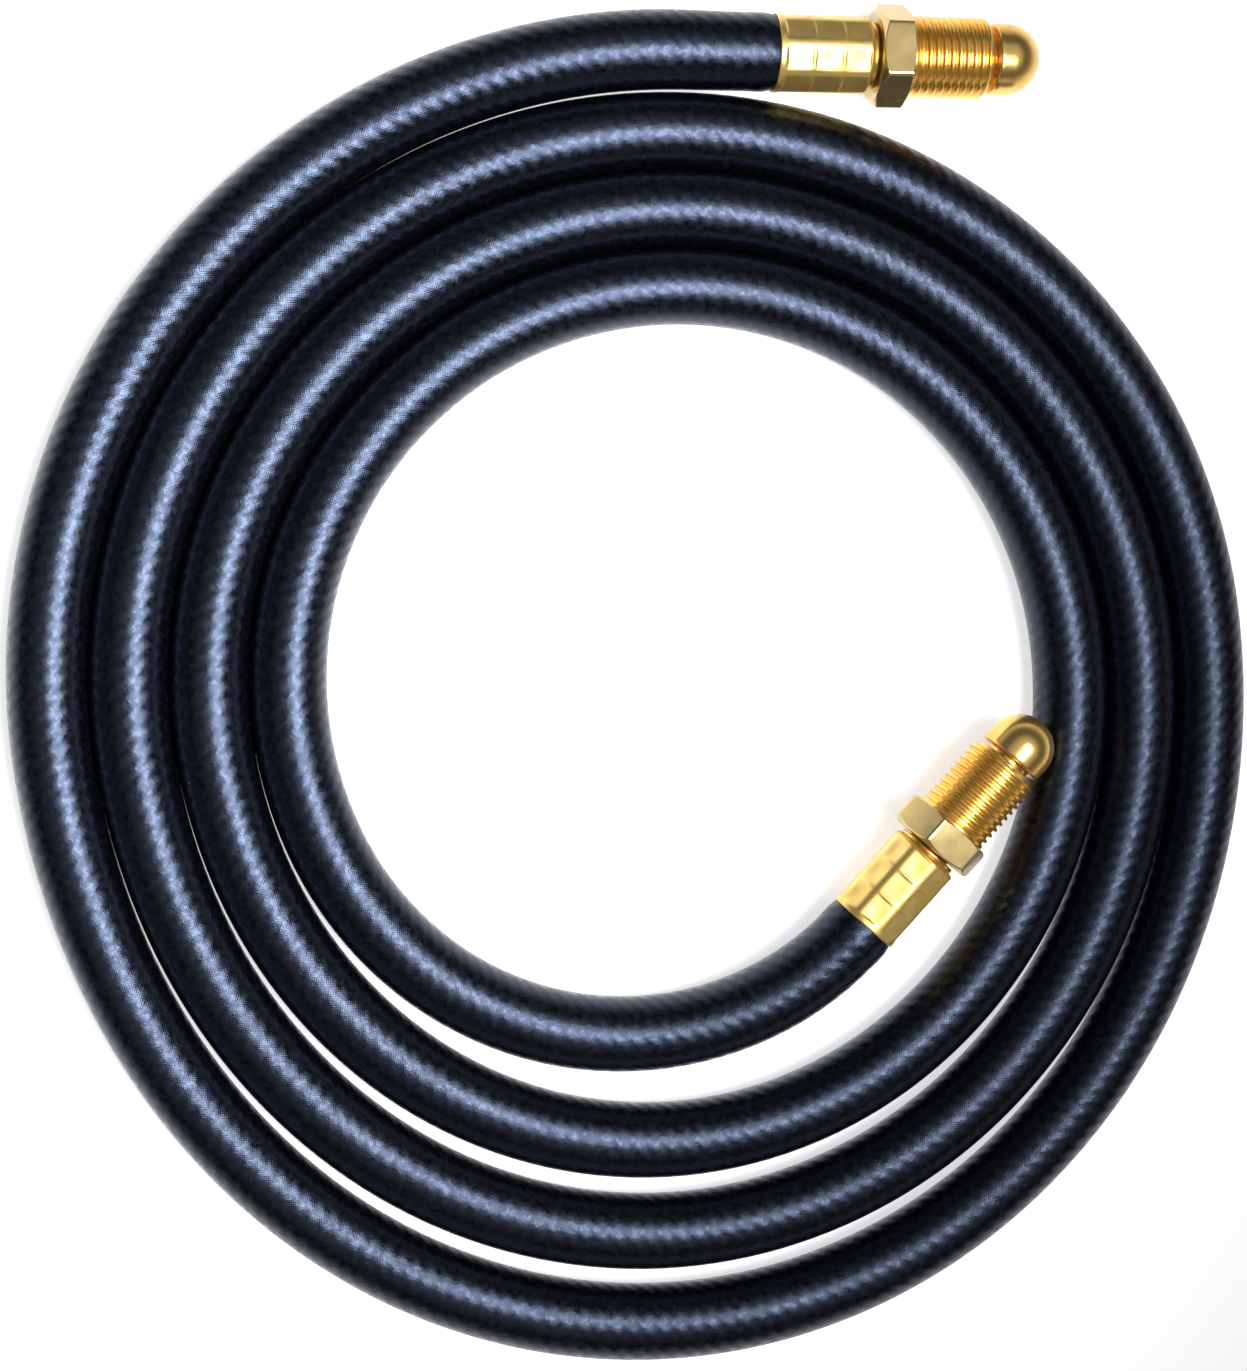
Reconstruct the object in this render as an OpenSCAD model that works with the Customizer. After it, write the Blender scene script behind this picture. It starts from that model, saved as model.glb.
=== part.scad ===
// Gas hose, wound flat in an open spiral, with a crimped brass union at each end.
//
// Frame: +Z up, the floor is z = 0, millimetres. The hose runs from its outer
// end, at the top of the coil, anticlockwise and inwards to its inner end.
// Each end holds the same fitting: a crimped ferrule, a bullet nipple whose
// barbed tail sits in the hose, and a union nut that turns on the nipple's stem.
// A fitting is drawn along its own +X, from the ferrule's mouth to the nose.

/* [Hose] */
// Outside diameter of the hose
hose_d = 13.5; // [12.5:0.25:15]
// Bore of the liner
hose_bore_d = 6.35; // [5.5:0.05:7]
// Wall of the rubber liner
liner_wall = 1.6; // [1.2:0.1:1.8]
// Thickness of the textile braid between liner and cover
braid_wall = 0.6; // [0.4:0.1:0.8]

/* [Coil] */
// Number of turns between the two straight ends
coil_turns = 3.604; // [2.5:0.002:4.5]
// Centre line radius that the spiral comes down to at its inner end
coil_inner_r = 64.85; // [60:0.05:80]
// Air between turns that lie side by side
turn_gap = 0.3; // [0.1:0.1:3]
// How much further apart the turns lie on the slack side
slack = 3.5; // [0:0.05:6]
// Direction of the slack side, in degrees from +X
slack_a = 276; // [250:1:300]
// How far the end of the last turn is drawn in towards the middle
tuck = 8.1; // [4:0.1:9]
// Straight hose between the coil and the outer ferrule
outer_straight = 16.5; // [2:0.5:30]
// Straight hose between the coil and the inner ferrule
inner_straight = 2; // [2:0.5:8]
// How far the inner fitting points up, over the next turn, in degrees
inner_tilt = 4.5; // [0:0.5:6]

/* [Ferrule] */
// Length of the ferrule
ferrule_len = 17.5; // [16:0.5:22]
// Wall of the ferrule
ferrule_wall = 0.45; // [0.4:0.05:0.8]
// How far the rear lip squeezes the hose, on the radius
lip_squeeze = 0.25; // [0.1:0.05:0.3]
// How far the crimp squeezes the hose, on the radius
crimp_squeeze = 0.6; // [0.5:0.05:0.8]
// Number of rows of crimp marks
crimp_rows = 3; // [2:1:4]
// Length of the rear lip, and of the front's taper
ferrule_lip = 1.2; // [0.8:0.1:2]
// Length at the front that the crimp marks leave free
crimp_front = 0.6; // [0.4:0.1:1.2]
// Width of the ridge between two rows of crimp marks
crimp_ridge = 0.6; // [0.4:0.1:1.2]
// How far a mark of the outer ferrule is turned from straight down, in degrees
outer_crimp_a = 20; // [0:1:44]
// How far a mark of the inner ferrule is turned from straight down, in degrees
inner_crimp_a = 30; // [0:1:44]
// Thickness of the ferrule's front wall, which grips the nipple
ferrule_front = 1.2; // [0.8:0.1:2]

/* [Nut] */
// Width of the hexagon across its flats
nut_af = 16; // [15.5:0.1:20]
// Length of the hexagon
nut_hex_len = 6; // [5:0.1:10]
// Major diameter of the external thread
thread_d = 14.2875; // [13.5:0.0005:15]
// Pitch of the thread
thread_pitch = 1.411; // [1:0.001:2]
// Length of the threaded shank
thread_len = 15.4; // [10:0.1:18]
// How far the outer nut is turned from lying on a flat, in degrees
outer_nut_a = 3; // [0:1:59]
// How far the inner nut is turned from lying on a flat, in degrees
inner_nut_a = 2; // [0:1:59]

/* [Nipple] */
// Gas bore through the nipple
gas_bore_d = 3.6; // [3:0.1:4.5]
// Stem that the nut turns on
stem_d = 8.6; // [8:0.1:9.5]
// How far the crests of the barbs bite into the liner, on the diameter
barb_bite = 1.05; // [0.8:0.05:1.4]
// How much thicker than the liner's bore the tail is between two barbs
barb_root = 0.05; // [0:0.05:0.4]
// Number of barbs
barbs = 4; // [3:1:5]
// Collar that shows between the ferrule and the nut
collar_d = 11.8; // [11:0.1:13]
// Thickness of that collar
collar_len = 0.8; // [0.5:0.1:2]
// Diameter of the bullet nose
nose_d = 12.7; // [11:0.1:12.9]
// Straight part of the nose, behind its round end
nose_land = 2.8; // [2:0.1:5]

/* [Fits] */
// Radial clearance between the nut's bore and the stem
running_fit = 0.05; // [0.02:0.01:0.1]
// End clearance between the nut and the collar
end_float = 0.3; // [0.3:0.05:0.6]
// End clearance between the nut and the nose
nose_gap = 0.9; // [0.3:0.1:1.5]
// Air under the corners of the nut as it turns
floor_gap = 0.2; // [0.2:0.05:1]

/* [Hidden] */
$fn = 96;

// Rings in one turn, and sides of the hose's outer and inner skins
ring_count = 24;
cover_sides = 12;
inner_sides = 6;

// The coil's centre, which sets the origin in the middle of the part
coil_x = 3.4;
coil_y = 0.33;
// The inner end lies at this polar angle, counted through all the turns
inner_end_a = 1387;
tuck_len_a = 104;
outer_end_a = inner_end_a - 360 * coil_turns;
// The last stretch of the coil, over which each end rises to its fitting
climb_a = 48;
pitch = hose_d + turn_gap;

// Heights of the lying hose and of the fittings' axes
flat_cut = hose_d / 10;
rest_h = hose_d / 2 - flat_cut;
nut_corner_r = nut_af / 2 / cos(30);
axis_h = nut_corner_r + floor_gap;

// Radii of the hose's skins, from outside in: free, and in the crimp
free_r = [hose_d / 2,
          hose_bore_d / 2 + liner_wall + braid_wall,
          hose_bore_d / 2 + liner_wall,
          hose_bore_d / 2];
barb_d = hose_bore_d + barb_bite;
barb_root_d = hose_bore_d + barb_root;
crimp_bore_r = barb_root_d / 2 / cos(180 / inner_sides);
crimp_r = [for (r = free_r)
    crimp_bore_r + (r - free_r[3]) / (free_r[0] - free_r[3])
        * (free_r[0] - crimp_squeeze - crimp_bore_r)];

// The ferrule's lips, and the width across two opposite crimp marks
lip_r = free_r[0] - lip_squeeze + ferrule_wall;
crimp_af = 2 * (crimp_r[0] + ferrule_wall);

// Stations along a fitting, from the ferrule's mouth
hose_in = ferrule_len - ferrule_front - 1.6;
crimp_from = ferrule_lip + 1;
barb_from = 2;
shoulder_from = hose_in + 0.4;
groove_from = ferrule_len - ferrule_front;
collar_to = ferrule_len + collar_len;
nut_from = collar_to + end_float;
nut_len = nut_hex_len + thread_len;
nose_from = nut_from + nut_len + nose_gap;
chamfer = thread_pitch * 0.8;

// ---- Route of the hose ----

function unit(v) = v / norm(v);

// The spiral: turns a pitch apart, further apart on the slack side, with the
// last stretch drawn in.
function loose(a) = pow(max(0, cos(a - slack_a)), 2);
function drawn_in(a) =
    tuck * pow(max(0, a - inner_end_a + tuck_len_a) / tuck_len_a, 2);
function coil_r(a) =
    coil_inner_r + (pitch + slack * loose(a)) * (inner_end_a - a) / 360
    - drawn_in(a);
function coil_at(a) =
    [coil_x + coil_r(a) * cos(a), coil_y + coil_r(a) * sin(a)];

// Height: level at rest_h, then a smooth rise to each fitting. `t` runs from 0
// to 1 over the rise, and the curve leaves it with slope `end_slope`.
function lift(t, rise, end_slope) =
    let (u = max(0, t))
    u * u * (3 - 2 * u) * rise - u * u * (1 - u) * end_slope;
climb_run = climb_a * norm(coil_at(inner_end_a + 0.5) - coil_at(inner_end_a - 0.5));
function height(a) = rest_h
    + lift((outer_end_a + climb_a - a) / climb_a, axis_h - rest_h, 0)
    + lift((a - inner_end_a + climb_a) / climb_a,
           axis_h - inner_straight * sin(inner_tilt) - rest_h,
           climb_run * tan(inner_tilt));
function route(a) = [coil_at(a).x, coil_at(a).y, height(a)];
function heading(a) = unit(route(a + 0.1) - route(a - 0.1));

// Each end's direction, out of the coil, and the mouth of its ferrule
outer_heading = -unit([heading(outer_end_a).x, heading(outer_end_a).y, 0]);
inner_flat = unit([heading(inner_end_a).x, heading(inner_end_a).y]);
inner_heading = [inner_flat.x * cos(inner_tilt), inner_flat.y * cos(inner_tilt),
                 sin(inner_tilt)];
outer_mouth = route(outer_end_a) + outer_straight * outer_heading;
inner_mouth = route(inner_end_a) + inner_straight * inner_heading;

// A ring is [centre, heading, squeeze], where squeeze is 1 in the crimp.
function end_ring(mouth, out, sense, u, squeeze) =
    [mouth + u * out, sense * out, squeeze];
lip_share = lip_squeeze / crimp_squeeze;
// Rings of neighbouring turns stand at the same angles, so that their chords
// lie side by side.
ring_step = 360 / ring_count;
ring_angles = [
    outer_end_a,
    for (k = [ceil(outer_end_a / ring_step + 0.3)
              : floor(inner_end_a / ring_step - 0.3)]) k * ring_step,
    inner_end_a];
rings = [
    end_ring(outer_mouth, outer_heading, -1, hose_in, 1),
    end_ring(outer_mouth, outer_heading, -1, crimp_from, 1),
    end_ring(outer_mouth, outer_heading, -1, 0, lip_share),
    for (a = ring_angles) [route(a), heading(a), 0],
    end_ring(inner_mouth, inner_heading, 1, 0, lip_share),
    end_ring(inner_mouth, inner_heading, 1, crimp_from, 1),
    end_ring(inner_mouth, inner_heading, 1, hose_in, 1)];

// ---- Skins of the hose ----

// Corner k of a ring's polygon, as [sideways, up]. Both polygons lie on a flat.
function corner(r, sides, k) =
    let (a = 360 / sides * (k + (sides == cover_sides ? 0.5 : 0)))
    [r * cos(a), r * sin(a)];
// A corner below the floor slides up its own edge until it lies on the floor.
function floored(p, next, drop) =
    p.y >= -drop ? p : next + (p - next) * (drop + next.y) / (next.y - p.y);
function ring_point(ring, r, sides, k) =
    let (p = corner(r, sides, k),
         next = corner(r, sides, k + (p.x > 0 ? 1 : -1)),
         q = floored(p, next, ring[0].z),
         side = unit([-ring[1].y, ring[1].x, 0]))
    ring[0] + q.x * side + q.y * cross(ring[1], side);
function skin_points(skin, sides) = [
    for (ring = rings)
        let (r = free_r[skin] + (crimp_r[skin] - free_r[skin]) * ring[2])
        for (k = [0 : sides - 1]) ring_point(ring, r, sides, k)];

// Triangles of a skin whose first point is number `first`.
function skin_faces(first, sides) = [
    for (i = [0 : len(rings) - 2], k = [0 : sides - 1])
        let (a = first + i * sides + k,
             b = first + i * sides + (k + 1) % sides)
        each [[a, a + sides, b + sides], [a, b + sides, b]]];
// Triangles between an outer ring of n corners and an inner one of m: n is m,
// or twice m with its corners a quarter side to either side of the inner ones.
function cap_faces(outer, n, inner, m) = [
    for (i = [0 : m - 1])
        let (p = inner + i, q = inner + (i + 1) % m)
        each (n == m
            ? [[p, outer + i, outer + (i + 1) % n],
               [p, outer + (i + 1) % n, q]]
            : [[p, outer + 2 * i, outer + 2 * i + 1],
               [p, outer + 2 * i + 1, q],
               [q, outer + 2 * i + 1, outer + (2 * i + 2) % n]])];
function flipped(faces) = [for (f = faces) [f[2], f[1], f[0]]];

// One layer of the hose, between skin `outside` and the next skin in.
module hose_layer(outside, sides) {
    first_in = len(rings) * sides;
    last = len(rings) - 1;
    polyhedron(
        points = concat(skin_points(outside, sides),
                        skin_points(outside + 1, inner_sides)),
        faces = concat(
            skin_faces(0, sides),
            flipped(skin_faces(first_in, inner_sides)),
            cap_faces(0, sides, first_in, inner_sides),
            flipped(cap_faces(last * sides, sides,
                              first_in + last * inner_sides, inner_sides))));
}

// Least air between turns: from each point of a turn's outer side to each
// edge of the inner side of the turn outside it.
function edge_gap(p, a, b) =
    let (t = min(1, max(0, (p - a) * (b - a) / ((b - a) * (b - a)))))
    norm(p - a - t * (b - a));
function side_point(ring, sense) =
    let (reach = sense * free_r[0] * cos(180 / cover_sides))
    [ring[0].x + ring[1].y * reach, ring[0].y - ring[1].x * reach];
outer_side = [for (ring = rings) side_point(ring, 1)];
inner_side = [for (ring = rings) side_point(ring, -1)];
least_gap = min([
    for (i = [ring_count : len(rings) - 1],
         j = [max(0, i - ring_count - 6) : i - ring_count + 6])
        min(edge_gap(outer_side[i], inner_side[j], inner_side[j + 1]),
            edge_gap(inner_side[j], outer_side[i - 1], outer_side[i]))]);
echo(least_gap_between_turns = least_gap);

// ---- Fittings ----

// Puts a fitting's own frame at a ferrule's mouth.
module at_end(mouth, out) {
    translate(mouth)
        rotate([0, -asin(out.z), atan2(out.y, out.x)])
            children();
}
module at_outer_end() {
    at_end(outer_mouth, outer_heading) children();
}
module at_inner_end() {
    at_end(inner_mouth, inner_heading) children();
}

// Turns a profile of [station, radius] points about the fitting's axis.
module turned(profile) {
    rotate([0, 90, 0])
        rotate_extrude()
            polygon([for (p = profile) [p[1], p[0]]]);
}

module ferrule(crimp_a) {
    row_len = (ferrule_len - ferrule_lip - crimp_front + crimp_ridge) / crimp_rows;
    ridge_r = crimp_af / 4 + lip_r / 2;
    difference() {
        turned([[0, 0], [0, lip_r], [ferrule_lip, lip_r],
                [ferrule_lip, ridge_r],
                [ferrule_len - ferrule_lip, ridge_r],
                [ferrule_len - ferrule_lip / 2, lip_r - ferrule_lip / 2],
                [ferrule_len, lip_r - ferrule_lip],
                [ferrule_len, 0]]);
        // crimp marks: rows of eight flats, pressed in between round ridges
        for (i = [0 : crimp_rows - 1])
            translate([ferrule_lip + i * row_len, 0, 0])
                crimp_row(row_len - crimp_ridge, ridge_r + 1, crimp_a);
        turned([[-1, 0], [-1, free_r[0] - lip_squeeze],
                [0, free_r[0] - lip_squeeze],
                [crimp_from, crimp_r[0]], [groove_from, crimp_r[0]],
                [groove_from, 0]]);
        turned([[groove_from - 1, 0], [groove_from - 1, stem_d / 2],
                [ferrule_len + 1, stem_d / 2], [ferrule_len + 1, 0]]);
    }
}
// What one row of crimp marks takes away from the round ferrule
module crimp_row(row, reach, crimp_a) {
    rotate([0, 90, 0])
        difference() {
            cylinder(h = row, r = reach);
            translate([0, 0, -1])
                rotate([0, 0, 22.5 + crimp_a])
                    cylinder(h = row + 2, r = crimp_af / 2 / cos(22.5), $fn = 8);
        }
}

module nipple() {
    tail_to = shoulder_from - 0.6;
    barb_len = (tail_to - barb_from) / barbs;
    nose_r = nose_d / 2;
    bore_r = gas_bore_d / 2;
    round_from = nose_from + nose_land;
    tip_a = asin(bore_r / nose_r);
    turned(concat(
        [[barb_from, bore_r], [barb_from, barb_root_d / 2]],
        [for (i = [0 : barbs - 1])
            each [[barb_from + (i + 0.85) * barb_len, barb_d / 2],
                  [barb_from + (i + 1) * barb_len, barb_root_d / 2]]],
        [[shoulder_from, barb_root_d / 2],
         [shoulder_from, barb_d / 2 + 0.8], [groove_from, barb_d / 2 + 0.8],
         [groove_from, stem_d / 2], [ferrule_len, stem_d / 2],
         [ferrule_len, collar_d / 2], [collar_to, collar_d / 2],
         [collar_to, stem_d / 2], [nose_from, stem_d / 2],
         [nose_from, nose_r - 0.4], [nose_from + 0.4, nose_r]],
        [for (k = [0 : 16])
            let (a = 90 + (tip_a - 90) * k / 16)
            [round_from + nose_r * cos(a), nose_r * sin(a)]]));
}

module nut(turned_by) {
    hex_to = nut_from + nut_hex_len;
    thread_r = thread_d / 2;
    root_r = thread_r - 0.613 * thread_pitch;
    crest = thread_pitch / 4;
    root = thread_pitch / 4;
    first = hex_to + crest;
    grooves = floor((thread_len - chamfer - 2 * crest) / thread_pitch);
    difference() {
        union() {
            intersection() {
                translate([nut_from, 0, 0])
                    rotate([0, 90, 0])
                        rotate([0, 0, 30 + turned_by])
                            cylinder(h = nut_hex_len, r = nut_corner_r, $fn = 6);
                turned([[nut_from, 0], [nut_from, nut_af / 2 - 0.2],
                        [nut_from + 1, nut_corner_r + 0.1],
                        [hex_to - 1, nut_corner_r + 0.1],
                        [hex_to, nut_af / 2 - 0.2], [hex_to, 0]]);
            }
            turned(concat(
                [[hex_to - 1, 0], [hex_to - 1, thread_r]],
                [for (i = [0 : grooves - 1])
                    let (u = first + i * thread_pitch,
                         flank = (thread_pitch - crest - root) / 2)
                    each [[u, thread_r], [u + flank, root_r],
                          [u + flank + root, root_r],
                          [u + 2 * flank + root, thread_r]]],
                [[nut_from + nut_len - chamfer, thread_r],
                 [nut_from + nut_len, thread_r - chamfer],
                 [nut_from + nut_len, 0]]));
        }
        turned([[nut_from - 1, 0], [nut_from - 1, stem_d / 2 + running_fit],
                [nut_from + nut_len + 1, stem_d / 2 + running_fit],
                [nut_from + nut_len + 1, 0]]);
    }
}

// ---- Nodes ----

module hose_cover() {
    color("#1b1c22")
        hose_layer(0, cover_sides);
}
module hose_braid() {
    color("#cfc8b4")
        hose_layer(1, inner_sides);
}
module hose_liner() {
    color("#2a2a2c")
        hose_layer(2, inner_sides);
}
module outer_ferrule() {
    color("#d9b13f")
        at_outer_end() ferrule(outer_crimp_a);
}
module outer_nipple() {
    color("#c79a45")
        at_outer_end() nipple();
}
module outer_nut() {
    color("#c9a75c")
        at_outer_end() nut(outer_nut_a);
}
module inner_ferrule() {
    color("#d9b13f")
        at_inner_end() ferrule(inner_crimp_a);
}
module inner_nipple() {
    color("#c79a45")
        at_inner_end() nipple();
}
module inner_nut() {
    color("#c9a75c")
        at_inner_end() nut(inner_nut_a);
}

hose_cover();
hose_braid();
hose_liner();
outer_ferrule();
outer_nipple();
outer_nut();
inner_ferrule();
inner_nipple();
inner_nut();
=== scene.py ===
"""Gas hose, coiled flat, with a crimped brass union at each end.

The frame is the part's own: +Z up, the floor at z = 0. Sizes are kept in
millimetres, and become metres where a mesh is made.
"""

from __future__ import annotations

import logging
import math
from dataclasses import dataclass, field
from enum import Enum

import bpy
import numpy as np
from mathutils import Matrix, Vector

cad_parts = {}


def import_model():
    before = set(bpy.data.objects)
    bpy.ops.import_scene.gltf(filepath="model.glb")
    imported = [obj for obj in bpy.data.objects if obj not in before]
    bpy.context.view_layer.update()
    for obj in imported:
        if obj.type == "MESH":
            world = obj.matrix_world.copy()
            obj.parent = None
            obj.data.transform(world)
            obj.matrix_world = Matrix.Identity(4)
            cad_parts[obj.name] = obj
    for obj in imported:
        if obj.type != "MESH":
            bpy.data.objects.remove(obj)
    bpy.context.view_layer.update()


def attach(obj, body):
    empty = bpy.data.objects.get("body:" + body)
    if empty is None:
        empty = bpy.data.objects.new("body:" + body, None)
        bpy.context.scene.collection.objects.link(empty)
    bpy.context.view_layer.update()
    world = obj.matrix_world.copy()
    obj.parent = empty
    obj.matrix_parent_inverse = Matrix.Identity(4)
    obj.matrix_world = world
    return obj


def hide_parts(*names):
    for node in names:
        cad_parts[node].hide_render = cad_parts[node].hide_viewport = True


LOG = logging.getLogger("gas_hose")
MM = 0.001
SURFACE_UV = "surface"

Array = np.ndarray
Colour = tuple[float, float, float]
Point = tuple[float, float, float]
Span = tuple[float, float]
Socket = bpy.types.NodeSocket


# ---- Sizes that the pieces share ----


def running_length(line: Array) -> Array:
    """Distance along a line of points, from its first point."""
    return np.concatenate([[0.0], np.cumsum(np.linalg.norm(np.diff(line, axis=0), axis=1))])


@dataclass(frozen=True)
class EndFrame:
    """Place and direction of a fitting: the ferrule's mouth, and the way out.

    A fitting's stations are counted from the mouth along `out`. Angles round
    it start at the underside and turn towards the left of `out`.
    """

    mouth: Array
    out: Array

    def left(self) -> Array:
        """Unit vector level with the floor, to the left of `out`."""
        side = np.array([-self.out[1], self.out[0], 0.0])
        return side / np.linalg.norm(side)

    def place(self, station: Array, radius: Array, angle: Array) -> Array:
        """Points at a station, radius and angle of the fitting.

        Args:
            station: Distance from the mouth along `out`, in mm.
            radius: Distance from the axis, in mm.
            angle: Angle round the axis, in radians.

        Returns:
            Points as mouth + station * out + radius * (cos * down + sin * left).
        """
        left = self.left()
        down = -np.cross(self.out, left)
        ring = np.cos(angle)[..., None] * down + np.sin(angle)[..., None] * left
        return self.mouth + station[..., None] * self.out + radius[..., None] * ring


@dataclass(frozen=True)
class HoseRoute:
    """Centre line of the hose: an open spiral that rises to a fitting at each end.

    Polar angles are in degrees, and grow from the outer end to the inner end.
    """

    hose_d: float = 13.5
    coil_turns: float = 3.604
    coil_inner_r: float = 64.85
    turn_gap: float = 0.3
    slack: float = 3.5
    slack_a: float = 276.0
    tuck: float = 8.1
    tuck_len_a: float = 104.0
    outer_straight: float = 16.5
    inner_straight: float = 2.0
    inner_tilt: float = 4.5
    climb_a: float = 48.0
    inner_end_a: float = 1387.0
    coil_x: float = 3.4
    coil_y: float = 0.33
    lying_h: float = 6.5
    axis_h: float = 9.438
    coil_samples: int = 6000
    outer_samples: int = 60
    inner_samples: int = 30

    @property
    def outer_end_a(self) -> float:
        """Polar angle at which the coil leaves for the outer fitting."""
        return self.inner_end_a - 360.0 * self.coil_turns

    def radius(self, a: Array) -> Array:
        """Polar radius: a pitch less per turn, looser on one side, drawn in at the end.

        Args:
            a: Polar angle.

        Returns:
            Distance from the coil's centre, in mm.
        """
        loose = np.maximum(0.0, np.cos(np.radians(a - self.slack_a))) ** 2
        last = np.maximum(0.0, a - self.inner_end_a + self.tuck_len_a) / self.tuck_len_a
        pitch = self.hose_d + self.turn_gap + self.slack * loose
        turns_left = (self.inner_end_a - a) / 360.0
        return self.coil_inner_r + pitch * turns_left - self.tuck * last**2

    def plan(self, a: Array) -> Array:
        """Points of the spiral on the floor plan.

        Args:
            a: Polar angle.

        Returns:
            Points as (x, y), in mm.
        """
        turn = np.radians(a)
        radius = self.radius(a)
        return np.stack(
            [self.coil_x + radius * np.cos(turn), self.coil_y + radius * np.sin(turn)], -1
        )

    @staticmethod
    def lift(t: Array, rise: float, end_slope: float) -> Array:
        """Rise over t = 0..1 that starts level and ends with slope `end_slope`."""
        u = np.maximum(0.0, t)
        return u * u * (3 - 2 * u) * rise - u * u * (1 - u) * end_slope

    def height(self, a: Array) -> Array:
        """Height of the centre line, level on the floor between the two rises.

        Args:
            a: Polar angle.

        Returns:
            Height above the floor, in mm.
        """
        tilt = math.radians(self.inner_tilt)
        one_degree = self.plan(self.inner_end_a + np.array([-0.5, 0.5]))
        climb_run = self.climb_a * float(np.linalg.norm(one_degree[1] - one_degree[0]))
        rise = self.axis_h - self.lying_h
        to_outer = (self.outer_end_a + self.climb_a - a) / self.climb_a
        to_inner = (a - self.inner_end_a + self.climb_a) / self.climb_a
        inner_rise = rise - self.inner_straight * math.sin(tilt)
        outer = self.lift(to_outer, rise, 0.0)
        inner = self.lift(to_inner, inner_rise, climb_run * math.tan(tilt))
        return self.lying_h + outer + inner

    def points(self, a: Array) -> Array:
        """Points of the centre line at the polar angles `a`."""
        return np.concatenate([self.plan(a), self.height(a)[..., None]], -1)

    def heading(self, a: float) -> Array:
        """Direction of the centre line, through two points beside polar angle `a`.

        Args:
            a: Polar angle.

        Returns:
            Unit vector towards the inner end.
        """
        pair = self.points(np.array([a - 0.1, a + 0.1]))
        step = pair[1] - pair[0]
        return step / np.linalg.norm(step)

    def outer_end(self) -> EndFrame:
        """Frame of the outer fitting, which lies level.

        Returns:
            Place and direction of its ferrule's mouth.
        """
        flat = -self.heading(self.outer_end_a) * np.array([1.0, 1.0, 0.0])
        out = flat / np.linalg.norm(flat)
        start = self.points(np.array([self.outer_end_a]))[0]
        return EndFrame(start + self.outer_straight * out, out)

    def inner_end(self) -> EndFrame:
        """Frame of the inner fitting, which points up over the next turn.

        Returns:
            Place and direction of its ferrule's mouth.
        """
        flat = self.heading(self.inner_end_a)[:2]
        flat = flat / np.linalg.norm(flat)
        tilt = math.radians(self.inner_tilt)
        out = np.array([flat[0] * math.cos(tilt), flat[1] * math.cos(tilt), math.sin(tilt)])
        start = self.points(np.array([self.inner_end_a]))[0]
        return EndFrame(start + self.inner_straight * out, out)

    def centre_line(self, grip: float, rings: int) -> Array:
        """Evenly spaced points from inside one ferrule to inside the other.

        Args:
            grip: How far the line runs on into each ferrule, in mm.
            rings: Number of points.

        Returns:
            Points at equal distances along the line, in mm.
        """
        outer, inner = self.outer_end(), self.inner_end()
        coil = self.points(np.linspace(self.outer_end_a, self.inner_end_a, self.coil_samples))
        back = np.linspace(grip, -self.outer_straight, self.outer_samples)[:-1, None]
        ahead = np.linspace(-self.inner_straight, grip, self.inner_samples)[1:, None]
        before = back * outer.out + outer.mouth
        after = ahead * inner.out + inner.mouth
        line = np.concatenate([before, coil, after])
        run = running_length(line)
        even = np.linspace(0.0, run[-1], rings)
        return np.stack([np.interp(even, run, line[:, k]) for k in range(3)], -1)


# ---- Meshes ----


def ring_mesh(name: str, rows: Array, uv: Array, closed: bool) -> bpy.types.Object:
    """Makes a mesh of rings, each joined to the next by quads.

    Args:
        name: Name of the object.
        rows: Points in mm, shaped (rings, sides, 3). Turning with growing side
            number and moving to the next ring must give an outward normal.
        uv: Surface coordinates, shaped (rings + closed, sides + 1, 2).
        closed: True where the last ring joins the first, as on a bored piece.
            An open run of rings gets a fan over each end.

    Returns:
        The new object, linked to the scene and shaded smooth.
    """
    rings, sides, _ = rows.shape
    span = rings if closed else rings - 1
    i, j = np.meshgrid(np.arange(span), np.arange(sides), indexing="ij")
    i_next, j_next = (i + 1) % rings, (j + 1) % sides
    here, ahead = i * sides, i_next * sides
    quads = np.stack([here + j, here + j_next, ahead + j_next, ahead + j], -1).reshape(-1, 4)
    quad_uv = np.stack([uv[i, j], uv[i, j + 1], uv[i + 1, j + 1], uv[i + 1, j]], 2)
    quad_uv = quad_uv.reshape(-1, 2)
    points = rows.reshape(-1, 3)
    fans = np.zeros((0, 3), int)
    fan_uv = np.zeros((0, 2))
    if not closed:
        side = np.arange(sides)
        middle = len(points) + np.arange(2)
        points = np.concatenate([points, rows[[0, -1]].mean(1)])
        after = (side + 1) % sides
        last = (rings - 1) * sides
        first_fan = np.stack([np.full(sides, middle[0]), after, side], -1)
        last_fan = np.stack([np.full(sides, middle[1]), last + side, last + after], -1)
        fans = np.concatenate([first_fan, last_fan])
        fan_uv = np.repeat(uv[[0, -1], 0], sides * 3, axis=0)
    loops = np.concatenate([quads.ravel(), fans.ravel()])
    fan_starts = quads.size + np.arange(len(fans)) * 3
    starts = np.concatenate([np.arange(len(quads)) * 4, fan_starts])
    mesh = bpy.data.meshes.new(name)
    mesh.vertices.add(len(points))
    mesh.vertices.foreach_set("co", (points * MM).astype(np.float32).ravel())
    mesh.loops.add(len(loops))
    mesh.loops.foreach_set("vertex_index", loops.astype(np.int32))
    mesh.polygons.add(len(starts))
    mesh.polygons.foreach_set("loop_start", starts.astype(np.int32))
    layer = mesh.uv_layers.new(name=SURFACE_UV)
    layer.data.foreach_set("uv", np.concatenate([quad_uv, fan_uv]).astype(np.float32).ravel())
    mesh.update(calc_edges=True)
    mesh.shade_smooth()
    obj = bpy.data.objects.new(name, mesh)
    bpy.context.scene.collection.objects.link(obj)
    return obj


def angles_round(sides: int) -> Array:
    """Angles of the sides of a ring, in radians, from 0 up to a full turn."""
    return np.linspace(0.0, math.tau, sides, endpoint=False)


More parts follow.
